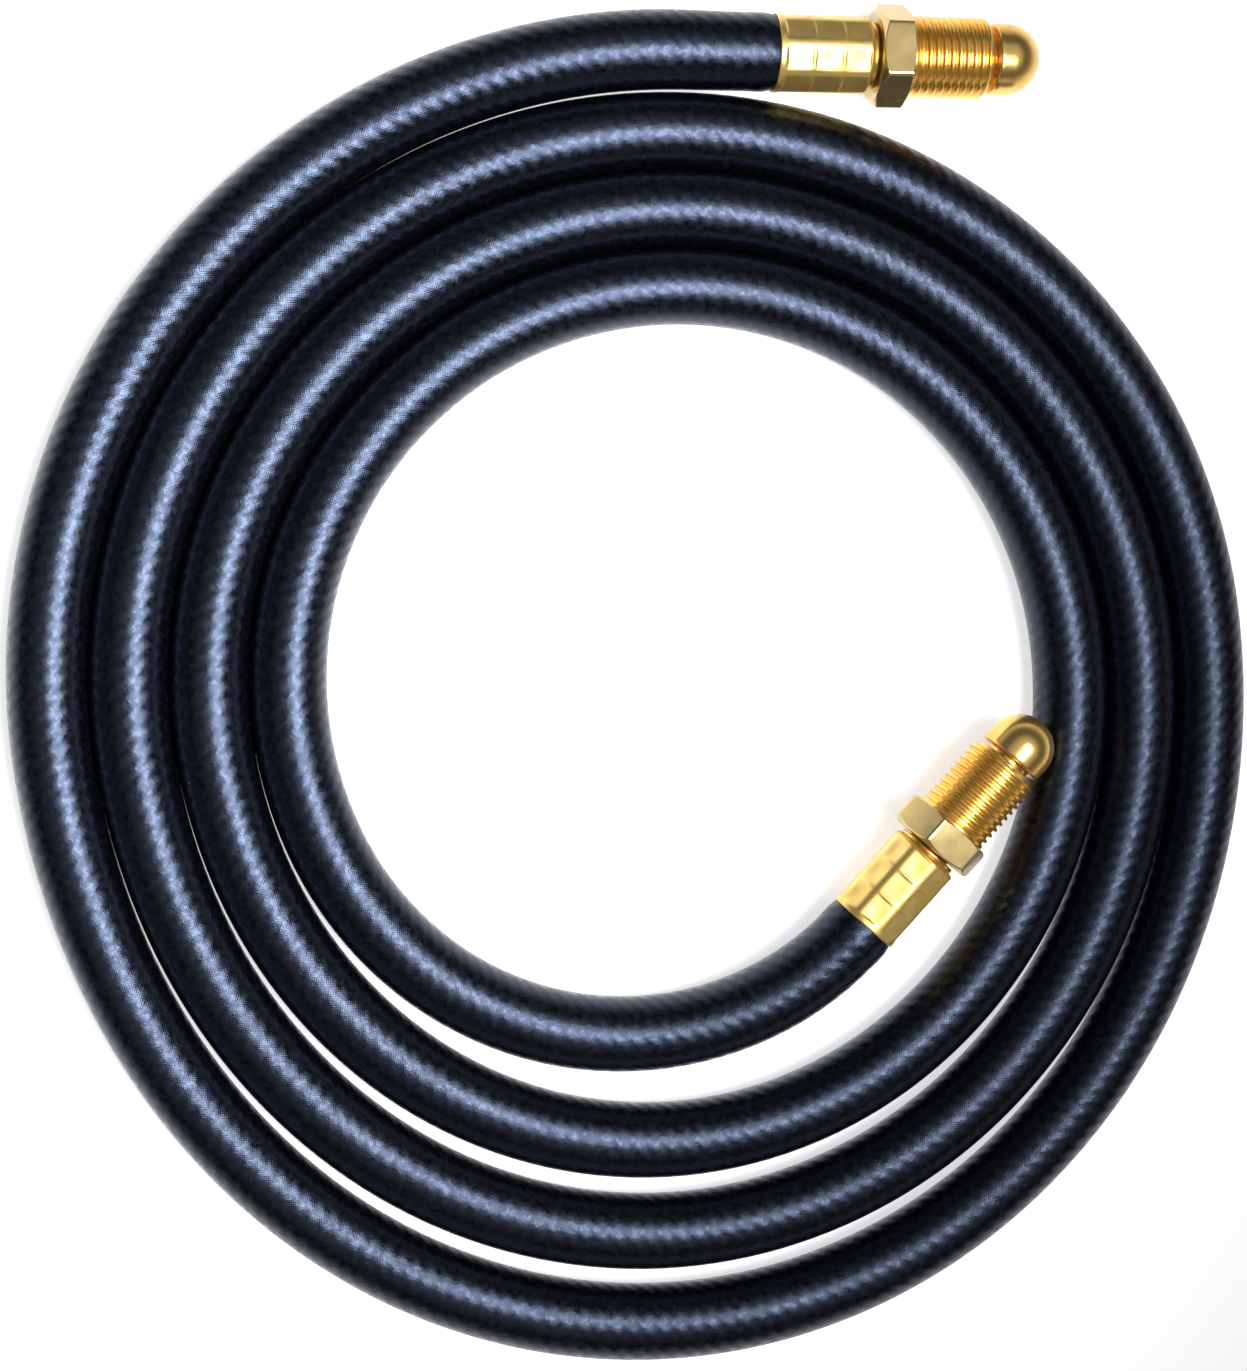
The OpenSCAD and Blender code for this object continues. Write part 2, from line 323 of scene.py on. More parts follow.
def round_grid(station: Array, sides: int) -> tuple[Array, Array]:
    """Stations and angles of a row of rings, both shaped (rings, sides)."""
    return np.meshgrid(station, angles_round(sides), indexing="ij")


def off_middle(angle: Array, turned_by: float, flats: int) -> Array:
    """Angle from the middle of the nearest flat of a prism.

    Args:
        angle: Angle round the axis, in radians.
        turned_by: Where the middle of one flat lies, in degrees.
        flats: Number of flats of the prism.

    Returns:
        Angle in radians, below 0 before the middle and above 0 past it.
    """
    sector = math.tau / flats
    return np.mod(angle - math.radians(turned_by) + sector / 2, sector) - sector / 2


def unrolled(along: Array, sides: int) -> Array:
    """Surface coordinates of rings: u is the length `along`, v the turn from 0 to 1."""
    turn = np.linspace(0.0, 1.0, sides + 1)
    return np.stack(np.broadcast_arrays(along[:, None], turn[None, :]), -1)


def turned_uv(station: Array, radius: Array, sides: int) -> Array:
    """Surface coordinates of a turned piece, closed along its profile.

    Args:
        station: Station of each ring, in mm.
        radius: Mean radius of each ring, in mm.
        sides: Number of sides of a ring.

    Returns:
        u is the running length of the profile in mm, and v the turn from 0 to 1,
        shaped (rings + 1, sides + 1, 2).
    """
    profile = np.stack([station, radius], -1)
    return unrolled(running_length(np.concatenate([profile, profile[:1]])), sides)


def fine_profile(corners: list[Span], step: float) -> tuple[Array, Array]:
    """Points every `step` mm or less along a profile, up to its last corner.

    The last corner itself is left out: on a closed profile it repeats the first.

    Args:
        corners: Corners as (station, radius), in mm.
        step: Greatest distance between two points, in mm.

    Returns:
        The stations and the radii.
    """
    station: list[Array] = []
    radius: list[Array] = []
    for (u0, r0), (u1, r1) in zip(corners[:-1], corners[1:]):
        count = max(1, math.ceil(math.hypot(u1 - u0, r1 - r0) / step))
        t = np.arange(count) / count
        station.append(u0 + (u1 - u0) * t)
        radius.append(r0 + (r1 - r0) * t)
    return np.concatenate(station), np.concatenate(radius)


def smooth_step(x: Array, low: float, high: float) -> Array:
    """0 below `low`, 1 above `high`, and a smooth rise between them."""
    t = np.clip((x - low) / (high - low), 0.0, 1.0)
    return t * t * (3 - 2 * t)


def soft_min(a: Array, b: Array, blend: float) -> Array:
    """The lesser of a and b, rounded where they cross over a width of `blend`."""
    h = np.clip(0.5 + 0.5 * (b - a) / blend, 0.0, 1.0)
    return b + (a - b) * h - blend * h * (1 - h)


# ---- Materials ----


class Shader:
    """Node material with one Principled shader, and short calls that wire it."""

    def __init__(self, name: str) -> None:
        """Starts a material with one Principled shader on its output.

        Args:
            name: Name of the material.
        """
        self.material = bpy.data.materials.new(name)
        self.material.use_nodes = True
        self.tree = self.material.node_tree
        self.tree.nodes.clear()
        self.output = self.tree.nodes.new("ShaderNodeOutputMaterial")
        self.surface = self.tree.nodes.new("ShaderNodeBsdfPrincipled")
        self.join(self.surface.outputs[0], self.output.inputs["Surface"])

    def join(self, source: Socket, target: Socket) -> None:
        """Links two sockets."""
        self.tree.links.new(source, target)

    def feed(self, target: Socket, value: Socket | float | Colour) -> None:
        """Links a socket to `target`, or sets its plain value.

        Args:
            target: Input that takes the value.
            value: An output to link, a number, or a colour.
        """
        if isinstance(value, bpy.types.NodeSocket):
            self.join(value, target)
        elif isinstance(value, tuple) and len(target.default_value) == 4:
            target.default_value = (*value, 1.0)
        else:
            target.default_value = value

    def math(self, step: str, a: Socket | float, b: Socket | float = 0.0) -> Socket:
        """Makes a Math node.

        Args:
            step: What the node does, such as ADD.
            a: First input.
            b: Second input.

        Returns:
            The result.
        """
        node = self.tree.nodes.new("ShaderNodeMath")
        node.operation = step
        self.feed(node.inputs[0], a)
        self.feed(node.inputs[1], b)
        return node.outputs[0]

    def spread(
        self, value: Socket, low: float, high: float, to_low: float, to_high: float
    ) -> Socket:
        """Makes a smooth rise from `to_low` to `to_high`.

        Args:
            value: What the rise follows.
            low: Value at which the result is `to_low`.
            high: Value at which the result is `to_high`.
            to_low: First end of the result.
            to_high: Second end of the result.

        Returns:
            The result.
        """
        node = self.tree.nodes.new("ShaderNodeMapRange")
        node.interpolation_type = "SMOOTHSTEP"
        for key, number in zip((1, 2, 3, 4), (low, high, to_low, to_high)):
            node.inputs[key].default_value = number
        self.join(value, node.inputs[0])
        return node.outputs[0]

    def surface_uv(self) -> tuple[Socket, Socket]:
        """Reads the piece's own surface coordinates.

        Returns:
            u in mm, and v in turns.
        """
        uv = self.tree.nodes.new("ShaderNodeUVMap")
        uv.uv_map = SURFACE_UV
        split = self.tree.nodes.new("ShaderNodeSeparateXYZ")
        self.join(uv.outputs[0], split.inputs[0])
        return split.outputs[0], split.outputs[1]

    def vector(self, x: Socket) -> Socket:
        """Makes a vector that varies in its first number only.

        Args:
            x: First number. The others are 0.

        Returns:
            The vector.
        """
        node = self.tree.nodes.new("ShaderNodeCombineXYZ")
        self.join(x, node.inputs[0])
        return node.outputs[0]

    def place(self) -> Socket:
        """Object coordinates, in metres."""
        return self.tree.nodes.new("ShaderNodeTexCoord").outputs["Object"]

    def noise(
        self, where: Socket, scale: float, detail: float = 2.0, rough: float = 0.5
    ) -> Socket:
        """Makes a noise.

        Args:
            where: Coordinates that the noise follows.
            scale: Number of its cells in one unit of the coordinates.
            detail: Number of finer layers.
            rough: Share of each finer layer.

        Returns:
            Value from 0 to 1.
        """
        node = self.tree.nodes.new("ShaderNodeTexNoise")
        node.inputs["Scale"].default_value = scale
        node.inputs["Detail"].default_value = detail
        node.inputs["Roughness"].default_value = rough
        self.join(where, node.inputs["Vector"])
        return node.outputs["Fac"]

    def cells(self, where: Socket, scale: float) -> Socket:
        """Makes a pattern of scattered points.

        Args:
            where: Coordinates that the pattern follows.
            scale: Number of points along one unit of the coordinates.

        Returns:
            Distance to the nearest point.
        """
        node = self.tree.nodes.new("ShaderNodeTexVoronoi")
        node.inputs["Scale"].default_value = scale
        self.join(where, node.inputs["Vector"])
        return node.outputs["Distance"]

    def mix(self, share: Socket | float, low: Socket | Colour, high: Socket | Colour) -> Socket:
        """Mixes two colours.

        Args:
            share: Share of `high`, from 0 to 1.
            low: First colour.
            high: Second colour.

        Returns:
            The mixed colour.
        """
        node = self.tree.nodes.new("ShaderNodeMix")
        node.data_type = "RGBA"
        self.feed(node.inputs[0], share)
        self.feed(node.inputs[6], low)
        self.feed(node.inputs[7], high)
        return node.outputs[2]

    def bump(self, height: Socket, depth: float, under: Socket | None = None) -> Socket:
        """Makes the normal of an uneven surface.

        Args:
            height: Height, from 0 to 1.
            depth: Height in metres where `height` is 1.
            under: Normal of the surface below, if that is uneven too.

        Returns:
            The normal.
        """
        node = self.tree.nodes.new("ShaderNodeBump")
        node.inputs["Strength"].default_value = 1.0
        node.inputs["Distance"].default_value = depth
        self.join(height, node.inputs["Height"])
        if under is not None:
            self.join(under, node.inputs["Normal"])
        return node.outputs[0]

    def set(self, **values: Socket | float | Colour) -> None:
        """Feeds the Principled shader's sockets, named with _ for a space."""
        for key, value in values.items():
            words = key.replace("_", " ").title().replace("Ior", "IOR")
            self.feed(self.surface.inputs[words], value)


@dataclass(frozen=True)
class CoverRubber:
    """Black rubber with the imprint of a fine cloth and of the crossed spirals below it.

    Pitches and depths are in mm. A scale is a number of pattern cells per metre,
    and a range holds the two values of a pattern between which the finish changes.
    """

    base: Colour = (0.0014, 0.0014, 0.002)
    bloom: Colour = (0.0032, 0.0036, 0.0055)
    bloom_scale: float = 900.0
    bloom_range: Span = (0.45, 0.75)
    tint: Colour = (0.55, 0.67, 1.0)
    rib_pitch: float = 3.06
    rib_starts: int = 10
    rib_depth: float = 0.056
    cross_share: float = 0.3
    faint_rib: float = 0.55
    faint_scale: float = 28.0
    faint_range: Span = (0.35, 0.65)
    cloth_pitch: float = 0.55
    cloth_starts: int = 78
    cloth_depth: float = 0.014
    grain_scale: float = 1900.0
    grain_depth: float = 0.042
    gloss: float = 0.52
    roughness: float = 0.29
    smoother: float = 0.08
    rougher: float = 0.10
    rough_range: Span = (0.3, 0.7)
    dust: Colour = (0.5, 0.5, 0.5)
    dust_share: float = 0.35
    dust_scale: float = 61.0
    dust_range: Span = (0.62, 0.64)
    speck_scale: float = 140.0
    speck_range: Span = (0.035, 0.02)

    def rib(self, sh: Shader, along: Socket, around: Socket, hand: int) -> Socket:
        """Rounded ribs that wind round the hose: a cosine of the helix's phase.

        Args:
            sh: Shader that gets the nodes.
            along: Length along the hose, in mm.
            around: Turn round the hose, from 0 to 1.
            hand: 1 or -1, for the two ways of winding.

        Returns:
            Height from 0 to 1.
        """
        turns = sh.math("MULTIPLY", around, float(hand * self.rib_starts))
        phase = sh.math("ADD", sh.math("DIVIDE", along, self.rib_pitch), turns)
        wave = sh.math("COSINE", sh.math("MULTIPLY", phase, math.tau))
        return sh.math("MULTIPLY", sh.math("ADD", wave, 1.0), 0.5)

    def cloth(self, sh: Shader, along: Socket, around: Socket) -> Socket:
        """Plain weave: the product of a wave along the hose and one around it.

        Args:
            sh: Shader that gets the nodes.
            along: Length along the hose, in mm.
            around: Turn round the hose, from 0 to 1.

        Returns:
            Height from 0 to 1.
        """
        warp = sh.math("SINE", sh.math("MULTIPLY", along, math.tau / self.cloth_pitch))
        weft = sh.math("SINE", sh.math("MULTIPLY", around, math.tau * self.cloth_starts))
        return sh.math("MULTIPLY", sh.math("ADD", sh.math("MULTIPLY", warp, weft), 1.0), 0.5)

    def make(self) -> bpy.types.Material:
        """Builds the material: ribs, cloth and grain as bumps, bloom and dust as colour.

        Returns:
            The new material.
        """
        sh = Shader("cover_rubber")
        along, around = sh.surface_uv()
        place = sh.place()
        wide = sh.noise(place, self.faint_scale, 3.0)
        fine = sh.noise(place, self.bloom_scale, 4.0, 0.6)
        main = self.rib(sh, along, around, -1)
        cross = sh.math("MULTIPLY", self.rib(sh, along, around, 1), self.cross_share)
        clear = sh.spread(wide, *self.faint_range, self.faint_rib, 1.0)
        ribs = sh.math("MULTIPLY", sh.math("ADD", main, cross), clear)
        grain = sh.noise(place, self.grain_scale, 2.0, 0.6)
        normal = sh.bump(ribs, self.rib_depth * MM)
        normal = sh.bump(self.cloth(sh, along, around), self.cloth_depth * MM, normal)
        normal = sh.bump(grain, self.grain_depth * MM, normal)
        specks = sh.spread(sh.cells(place, self.speck_scale), *self.speck_range, 0.0, 1.0)
        chosen = sh.noise(place, self.dust_scale)
        chosen = sh.spread(chosen, *self.dust_range, 0.0, self.dust_share)
        dusty = sh.math("MULTIPLY", specks, chosen)
        shade = sh.mix(sh.spread(fine, *self.bloom_range, 0.0, 1.0), self.base, self.bloom)
        smooth, rough = self.roughness - self.smoother, self.roughness + self.rougher
        sh.set(
            base_color=sh.mix(dusty, shade, self.dust),
            roughness=sh.spread(fine, *self.rough_range, smooth, rough),
            specular_ior_level=self.gloss,
            specular_tint=self.tint,
            normal=normal,
        )
        return sh.material


@dataclass(frozen=True)
class BrassFinish:
    """One way of finishing brass: its colour, gloss, and the marks of the tool.

    Pitches, depths and edges are in mm. A scale is a number of pattern cells per
    metre, and a range holds the two values of a pattern between which the finish
    changes. The satin finish is for milled flats only.
    """

    name: str
    base: Colour
    deep: Colour
    roughness: float
    satin_roughness: float = 0.0
    satin_base: Colour = (0.64, 0.47, 0.20)
    satin_edge: float = 0.2
    metal: float = 0.88
    line_pitch: float = 0.09
    line_depth: float = 0.002
    grain_scale: float = 1400.0
    grain_depth: float = 0.004
    stain_scale: float = 160.0
    stain_range: Span = (0.38, 0.72)
    rough_range: Span = (0.3, 0.75)
    smoother: float = 0.85
    rougher: float = 1.25

    def make(self, satin_to: float = 0.0) -> bpy.types.Material:
        """Builds the material: fine lines round the piece, grain and faint stains.

        Args:
            satin_to: The profile's running length, in mm, up to which the piece
                is satin, as the milled flats of a hexagon are.

        Returns:
            The new material.
        """
        sh = Shader(self.name)
        along, _ = sh.surface_uv()
        place = sh.place()
        lines = sh.noise(sh.vector(along), 1.0 / self.line_pitch, 3.0, 0.7)
        grain = sh.noise(place, self.grain_scale, 3.0)
        stain = sh.noise(place, self.stain_scale, 4.0, 0.6)
        normal = sh.bump(lines, self.line_depth * MM)
        normal = sh.bump(grain, self.grain_depth * MM, normal)
        colour = sh.mix(sh.spread(stain, *self.stain_range, 0.0, 1.0), self.base, self.deep)
        least, most = self.roughness * self.smoother, self.roughness * self.rougher
        rough = sh.spread(stain, *self.rough_range, least, most)
        if satin_to > 0:
            satin = sh.spread(along, satin_to, satin_to + self.satin_edge, 1.0, 0.0)
            colour = sh.mix(satin, colour, self.satin_base)
            more = sh.math("MULTIPLY", satin, self.satin_roughness - self.roughness)
            rough = sh.math("ADD", rough, more)
        sh.set(base_color=colour, metallic=self.metal, roughness=rough, normal=normal)
        return sh.material


class Brass(Enum):
    """The brass finishes of a fitting."""

    PRESSED = BrassFinish("ferrule_brass", (0.90, 0.63, 0.20), (0.83, 0.51, 0.13), 0.37)
    MACHINED = BrassFinish("nut_brass", (0.92, 0.57, 0.14), (0.82, 0.45, 0.08), 0.22, 0.19)
    TURNED = BrassFinish("nipple_brass", (0.90, 0.58, 0.18), (0.78, 0.45, 0.11), 0.22)


# ---- Pieces ----


@dataclass
class Hose:
    """The hose itself, from inside one ferrule to inside the other.

    The places of the squeeze's end, the bulge and the settled part are counted
    from the mouth of the nearer ferrule, in mm.
    """

    route: HoseRoute
    rings: int = 1300
    sides: int = 72
    grip: float = 3.0
    lip_squeeze: float = 0.35
    squeeze_end: Span = (-0.6, 1.2)
    bulge: float = 0.12
    bulge_at: float = 2.6
    bulge_len: float = 1.2
    settled: float = 0.022
    settled_from: float = 25.0
    finish: CoverRubber = field(default_factory=CoverRubber)

    def skin(self, line: Array) -> Array:
        """Rings of the hose's skin: a circle across the line, flattened by the floor.

        The radius is the hose's own, less the squeeze inside a ferrule, and a
        touch more just outside it where the rubber bulges. Where the hose lies
        on the floor it has settled a little wider than high.

        Args:
            line: Points of the centre line, in mm.

        Returns:
            Points of the skin in mm, shaped (rings, sides, 3).
        """
        tangent = np.gradient(line, axis=0)
        tangent /= np.linalg.norm(tangent, axis=1, keepdims=True)
        left = np.stack([-tangent[:, 1], tangent[:, 0], np.zeros(len(line))], -1)
        left /= np.linalg.norm(left, axis=1, keepdims=True)
        up = np.cross(tangent, left)
        run = running_length(line)
        outside = np.minimum(run, run[-1] - run) - self.grip
        squeeze = self.lip_squeeze * (1 - smooth_step(outside, *self.squeeze_end))
        bulge = self.bulge * np.exp(-(((outside - self.bulge_at) / self.bulge_len) ** 2))
        radius = self.route.hose_d / 2 - squeeze + bulge
        wider = 1 + self.settled * smooth_step(outside, 0.0, self.settled_from)
        angle = angles_round(self.sides)
        ring = (
            (np.cos(angle) * wider[:, None])[..., None] * left[:, None, :]
            + np.sin(angle)[None, :, None] * up[:, None, :]
        )
        skin = line[:, None, :] + radius[:, None, None] * ring
        skin[..., 2] = np.maximum(skin[..., 2], 0.0)
        return skin

    def build(self) -> bpy.types.Object:
        """Makes the hose's mesh and dresses it.

        Returns:
            The hose's object.
        """
        line = self.route.centre_line(self.grip, self.rings)
        run = running_length(line)
        hose = ring_mesh("hose", self.skin(line), unrolled(run, self.sides), closed=False)
        hose.data.materials.append(self.finish.make())
        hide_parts("hose_cover", "hose_braid", "hose_liner")
        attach(hose, "root")
        LOG.info("hose: %.1f mm long", run[-1])
        return hose

    def declare(self) -> None:
        """Works out the hose's centre line and the outer fitting's mouth, and leaves both unused.
        """
        line = self.route.centre_line(self.grip, self.rings)
        tuple(self.route.outer_end().mouth * MM)


@dataclass
class Ferrule:
    """Brass sleeve, crimped on the hose with rows of flats. Sizes are in mm.

    A corner of the bore's mouth is (station, how much wider than the bore). A
    corner of the front's taper is (distance from the front, depth below the lip).
    """

    frame: EndFrame
    length: float = 17.5
    lip_r: float = 6.95
    lip: float = 1.2
    lip_edge: float = 0.22
    round_drop: float = 0.08
    crimp_r: float = 6.54
    crimp_blend: float = 0.12
    rows: int = 3
    marks: int = 8
    mark_turn: float = 0.0
    dent: float = 0.09
    ridge: float = 0.6
    ridge_press: float = 0.5
    press_before: float = 0.3
    press_after: float = 0.4
    front_free: float = 0.6
    front_taper: tuple[Span, ...] = ((0.9, 0.0), (0.25, 0.45), (0.0, 1.0))
    bore_r: float = 6.3
    bore_mouth: tuple[Span, ...] = ((1.4, 0.0), (0.35, 0.12), (0.0, 0.3))
    stem_r: float = 4.3
    wall: float = 1.2
    step: float = 0.16
    sides: int = 192

    def outside(self, station: Array, angle: Array) -> Array:
        """Radius of the outside: round lips and ridges, with pillow flats between.

        A row of marks presses an eight-sided prism into the round sleeve, a
        little hollow in the middle of each flat. The press is lighter on the
        ridges between two rows, and nothing at the rear lip.

        Args:
            station: Station along the ferrule, in mm.
            angle: Angle round it, in radians.

        Returns:
            Radius in mm.
        """
        sector = math.tau / self.marks
        off = off_middle(angle, self.mark_turn, self.marks)
        flat = self.crimp_r / np.cos(off)
        round_r = np.full_like(flat, self.lip_r - self.round_drop)
        row_end = self.length - self.front_free
        row_len = (row_end - self.lip + self.ridge) / self.rows
        mark_len = row_len - self.ridge
        into_row = np.mod(station - self.lip, row_len)
        middle = (into_row - mark_len / 2) / mark_len
        hollow = np.cos(off / sector * math.pi) ** 2 * np.cos(middle * math.pi) ** 2
        pressed = soft_min(flat, round_r, self.crimp_blend) - self.dent * hollow
        past_row = into_row - mark_len
        on_ridge = smooth_step(-np.abs(past_row - self.ridge / 2), -self.ridge, 0.0)
        press = 1 - (1 - self.ridge_press) * on_ridge * (station < row_end)
        press_from, press_to = self.lip - self.press_before, self.lip + self.press_after
        press = press * smooth_step(station, press_from, press_to)
        return round_r + (pressed - round_r) * press

    def corners(self) -> list[Span]:
        """Profile from the bore, over the rear mouth and the outside, and back inside.

        Returns:
            Corners as (station, radius), in mm, the last like the first.
        """
        front, inner_wall = self.length, self.length - self.wall
        mouth = [(station, self.bore_r + wider) for station, wider in self.bore_mouth]
        taper = [(front - back, self.lip_r - drop) for back, drop in self.front_taper]
        return [
            *mouth,
            (0.0, self.lip_r - self.lip_edge),
            (self.lip_edge, self.lip_r),
            *taper,
            (front, self.stem_r),
            (inner_wall, self.stem_r),
            (inner_wall, self.bore_r),
            mouth[0],
        ]

    def build(self, name: str, node: str) -> bpy.types.Object:
        """Makes the ferrule's mesh, bore included, and dresses it.

        Args:
            name: Name of the new object.
            node: CAD node that it stands for.

        Returns:
            The new object.
        """
        station, radius = fine_profile(self.corners(), self.step)
        st, an = round_grid(station, self.sides)
        on_top = np.isclose(radius, self.lip_r)[:, None]
        body = np.where(on_top, self.outside(st, an), radius[:, None])
        rows = self.frame.place(st, body, an)
        ferrule = ring_mesh(name, rows, turned_uv(station, radius, self.sides), closed=True)
        ferrule.data.materials.append(Brass.PRESSED.value.make())
        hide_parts(node)
        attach(ferrule, "root")
        return ferrule


@dataclass
class Nipple:
    """Bullet nipple: collar and stem behind the nut, round nose in front of it.

    Sizes are in mm. A corner of the nose's heel is (distance from the heel, depth
    below the nose's radius).
    """

    frame: EndFrame
    stem_r: float = 4.3
    tail_len: float = 4.0
    tail_play: float = 0.05
    collar_r: float = 5.9
    collar_from: float = 17.5
    collar_len: float = 0.8
    collar_slant: float = 0.02
    collar_edge: float = 0.15
    nose_from: float = 40.9
    nose_heel: tuple[Span, ...] = ((0.0, 0.45), (0.12, 0.13), (0.45, 0.0))
    nose_r: float = 6.35
    nose_land: float = 2.8
    nose_points: int = 48
    bore_r: float = 1.8
    mouth_wider: float = 0.35
    mouth_depth: float = 0.3
    step: float = 0.4
    sides: int = 128

    def corners(self) -> list[Span]:
        """Profile from the stem's rear end, over the nose, and back along the bore.

        Returns:
            Corners as (station, radius), in mm, the last like the first.
        """
        tail_from, tail_r = self.collar_from - self.tail_len, self.stem_r - self.tail_play
        collar_to, edge_r = self.collar_from + self.collar_len, self.collar_r - self.collar_edge
        round_from = self.nose_from + self.nose_land
        tip = math.asin((self.bore_r + self.mouth_wider) / self.nose_r)
        nose = [
            (round_from + self.nose_r * math.cos(a), self.nose_r * math.sin(a))
            for a in np.linspace(math.pi / 2, tip, self.nose_points)
        ]
        return [
            (tail_from, self.bore_r),
            (tail_from, tail_r),
            (self.collar_from, tail_r),
            (self.collar_from + self.collar_slant, edge_r),
            (self.collar_from + self.collar_edge, self.collar_r),
            (collar_to - self.collar_edge, self.collar_r),
            (collar_to, edge_r),
            (collar_to, self.stem_r),
            (self.nose_from, self.stem_r),
            *[(self.nose_from + on, self.nose_r - drop) for on, drop in self.nose_heel],
            *nose,
            (nose[-1][0] - self.mouth_depth, self.bore_r),
            (tail_from, self.bore_r),
        ]

    def build(self, name: str, node: str) -> bpy.types.Object:
        """Makes the nipple's mesh and dresses it.

        Args:
            name: Name of the new object.
            node: CAD node that it stands for.

        Returns:
            The new object.
        """
        station, radius = fine_profile(self.corners(), self.step)
        st, an = round_grid(station, self.sides)
        rows = self.frame.place(st, np.broadcast_to(radius[:, None], st.shape), an)
        nipple = ring_mesh(name, rows, turned_uv(station, radius, self.sides), closed=True)
        nipple.data.materials.append(Brass.TURNED.value.make())
        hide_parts(node)
        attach(nipple, "root")
        return nipple


@dataclass
class UnionNut:
    """Union nut: a chamfered hexagon with a threaded shank.

    Sizes are in mm, `turned_by` is in degrees, and `thread_depth` is a share of
    the pitch.
    """

    frame: EndFrame
    turned_by: float
    start: float = 18.6
    flat_r: float = 8.0
    hex_len: float = 6.0
    rear_slope: float = 1.6
    front_slope: float = 2.8
    cone_len: float = 1.0
    cone_drop: float = 0.25
    cone_blend: float = 0.08
    corner_cut: float = 0.06
    corner_blend: float = 0.10
    rear_edge: float = 0.3
    thread_r: float = 7.14375
    thread_pitch: float = 1.411
    thread_len: float = 15.4
    thread_depth: float = 0.42
    fade_from: float = 0.25
    fade_to: float = 1.3
    tip_len: float = 1.15
    tip_slope: float = 0.95
    bore_r: float = 4.35
    sides: int = 180
    cone_rings: int = 12
    flat_rings: int = 8
    turn_rings: int = 24
    face_rings: int = 4
    rear_step: float = 0.5
    bore_step: float = 1.5

    def hexagon(self, station: Array, angle: Array) -> Array:
        """Radius of the hexagon: six flats, cut back by a cone at each end.

        The cone in front is the steeper one, so it cuts off less.

        Args:
            station: Station along the fitting, in mm.
            angle: Angle round it, in radians.

        Returns:
            Radius in mm.
        """
        off = off_middle(angle, self.turned_by, 6)
        corner_r = self.flat_r / math.cos(math.pi / 6)
        corner = np.full_like(off, corner_r - self.corner_cut)
        flats = soft_min(self.flat_r / np.cos(off), corner, self.corner_blend)
        from_rear = (station - self.start) * self.rear_slope
        from_front = (self.start + self.hex_len - station) * self.front_slope
        cone = self.flat_r - self.cone_drop + np.minimum(from_rear, from_front)
        return soft_min(flats, cone, self.cone_blend)

    def thread(self, station: Array, angle: Array) -> Array:
        """Radius of the helical thread, which runs out at its ends.

        A turn of the thread is a symmetrical V of 60 degrees, with its crest cut
        flat over a third of the pitch and its root over nearly a fifth. The
        grooves fade out at the hexagon, and a cone cuts off the other end.

        Args:
            station: Station along the fitting, in mm.
            angle: Angle round it, in radians.

        Returns:
            Radius in mm.
        """
        phase = np.mod(station / self.thread_pitch - angle / math.tau, 1.0)
        from_crest = np.minimum(phase, 1 - phase) * self.thread_pitch
        depth = self.thread_depth * self.thread_pitch
        flank = (from_crest - self.thread_pitch / 6) * math.tan(math.radians(60))
        drop = np.clip(flank, 0, depth)
        first = self.start + self.hex_len
        last = first + self.thread_len
        fade = smooth_step(station, first + self.fade_from, first + self.fade_to)
        tip = self.thread_r - np.maximum(0.0, station - last + self.tip_len) * self.tip_slope
        return np.minimum(self.thread_r - drop * fade, tip)

    def surface(self) -> tuple[Array, Array]:
        """Rings of the nut: rear face, hexagon, front face, thread, tip and bore.

        Returns:
            The stations, shaped (rings,), and the radii, shaped (rings, sides).
        """
        hex_to = self.start + self.hex_len
        last = hex_to + self.thread_len
        rear_corners = [(self.start, self.bore_r), (self.start, self.flat_r - self.rear_edge)]
        rear_u, rear_r = fine_profile(rear_corners, self.rear_step)
        bore_corners = [(last, self.bore_r), (self.start, self.bore_r)]
        bore_u, bore_r = fine_profile(bore_corners, self.bore_step)
        flat_ends = (self.start + self.cone_len, hex_to - self.cone_len)
        hex_u = np.concatenate([
            self.start + np.linspace(0.0, self.cone_len, self.cone_rings),
            np.linspace(*flat_ends, self.flat_rings)[1:-1],
            hex_to - np.linspace(self.cone_len, 0.0, self.cone_rings),
        ])
        thread_rings = int(self.thread_len / self.thread_pitch * self.turn_rings)
        thread_u = np.linspace(hex_to, last, thread_rings)
        hexagon = self.hexagon(*round_grid(hex_u, self.sides))
        thread = self.thread(*round_grid(thread_u, self.sides))
        share = np.linspace(0.0, 1.0, self.face_rings + 2)[1:-1, None]
        face = hexagon[-1:] + (thread[:1] - hexagon[-1:]) * share
        front = thread[-1:] + (self.bore_r - thread[-1:]) * share
        face_u, front_u = np.full(self.face_rings, hex_to), np.full(self.face_rings, last)
        rear = np.broadcast_to(rear_r[:, None], (len(rear_r), self.sides))
        bore = np.broadcast_to(bore_r[:, None], (len(bore_r), self.sides))
        station = np.concatenate([rear_u, hex_u, face_u, thread_u, front_u, bore_u])
        return station, np.concatenate([rear, hexagon, face, thread, front, bore])

    def build(self, name: str, node: str, body: str) -> bpy.types.Object:
        """Makes the nut's mesh, bore included, and dresses it.

        Args:
            name: Name of the new object.
            node: CAD node that it stands for.
            body: CAD body that it turns with.

        Returns:
            The new object.
        """
        station, radius = self.surface()
        st, an = round_grid(station, self.sides)
        rows = self.frame.place(st, radius, an)
        nut = ring_mesh(name, rows, turned_uv(station, radius.mean(1), self.sides), closed=True)
        hexagon_to = self.flat_r - self.bore_r + self.hex_len
        nut.data.materials.append(Brass.MACHINED.value.make(hexagon_to))
        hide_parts(node)
        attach(nut, body)
        return nut


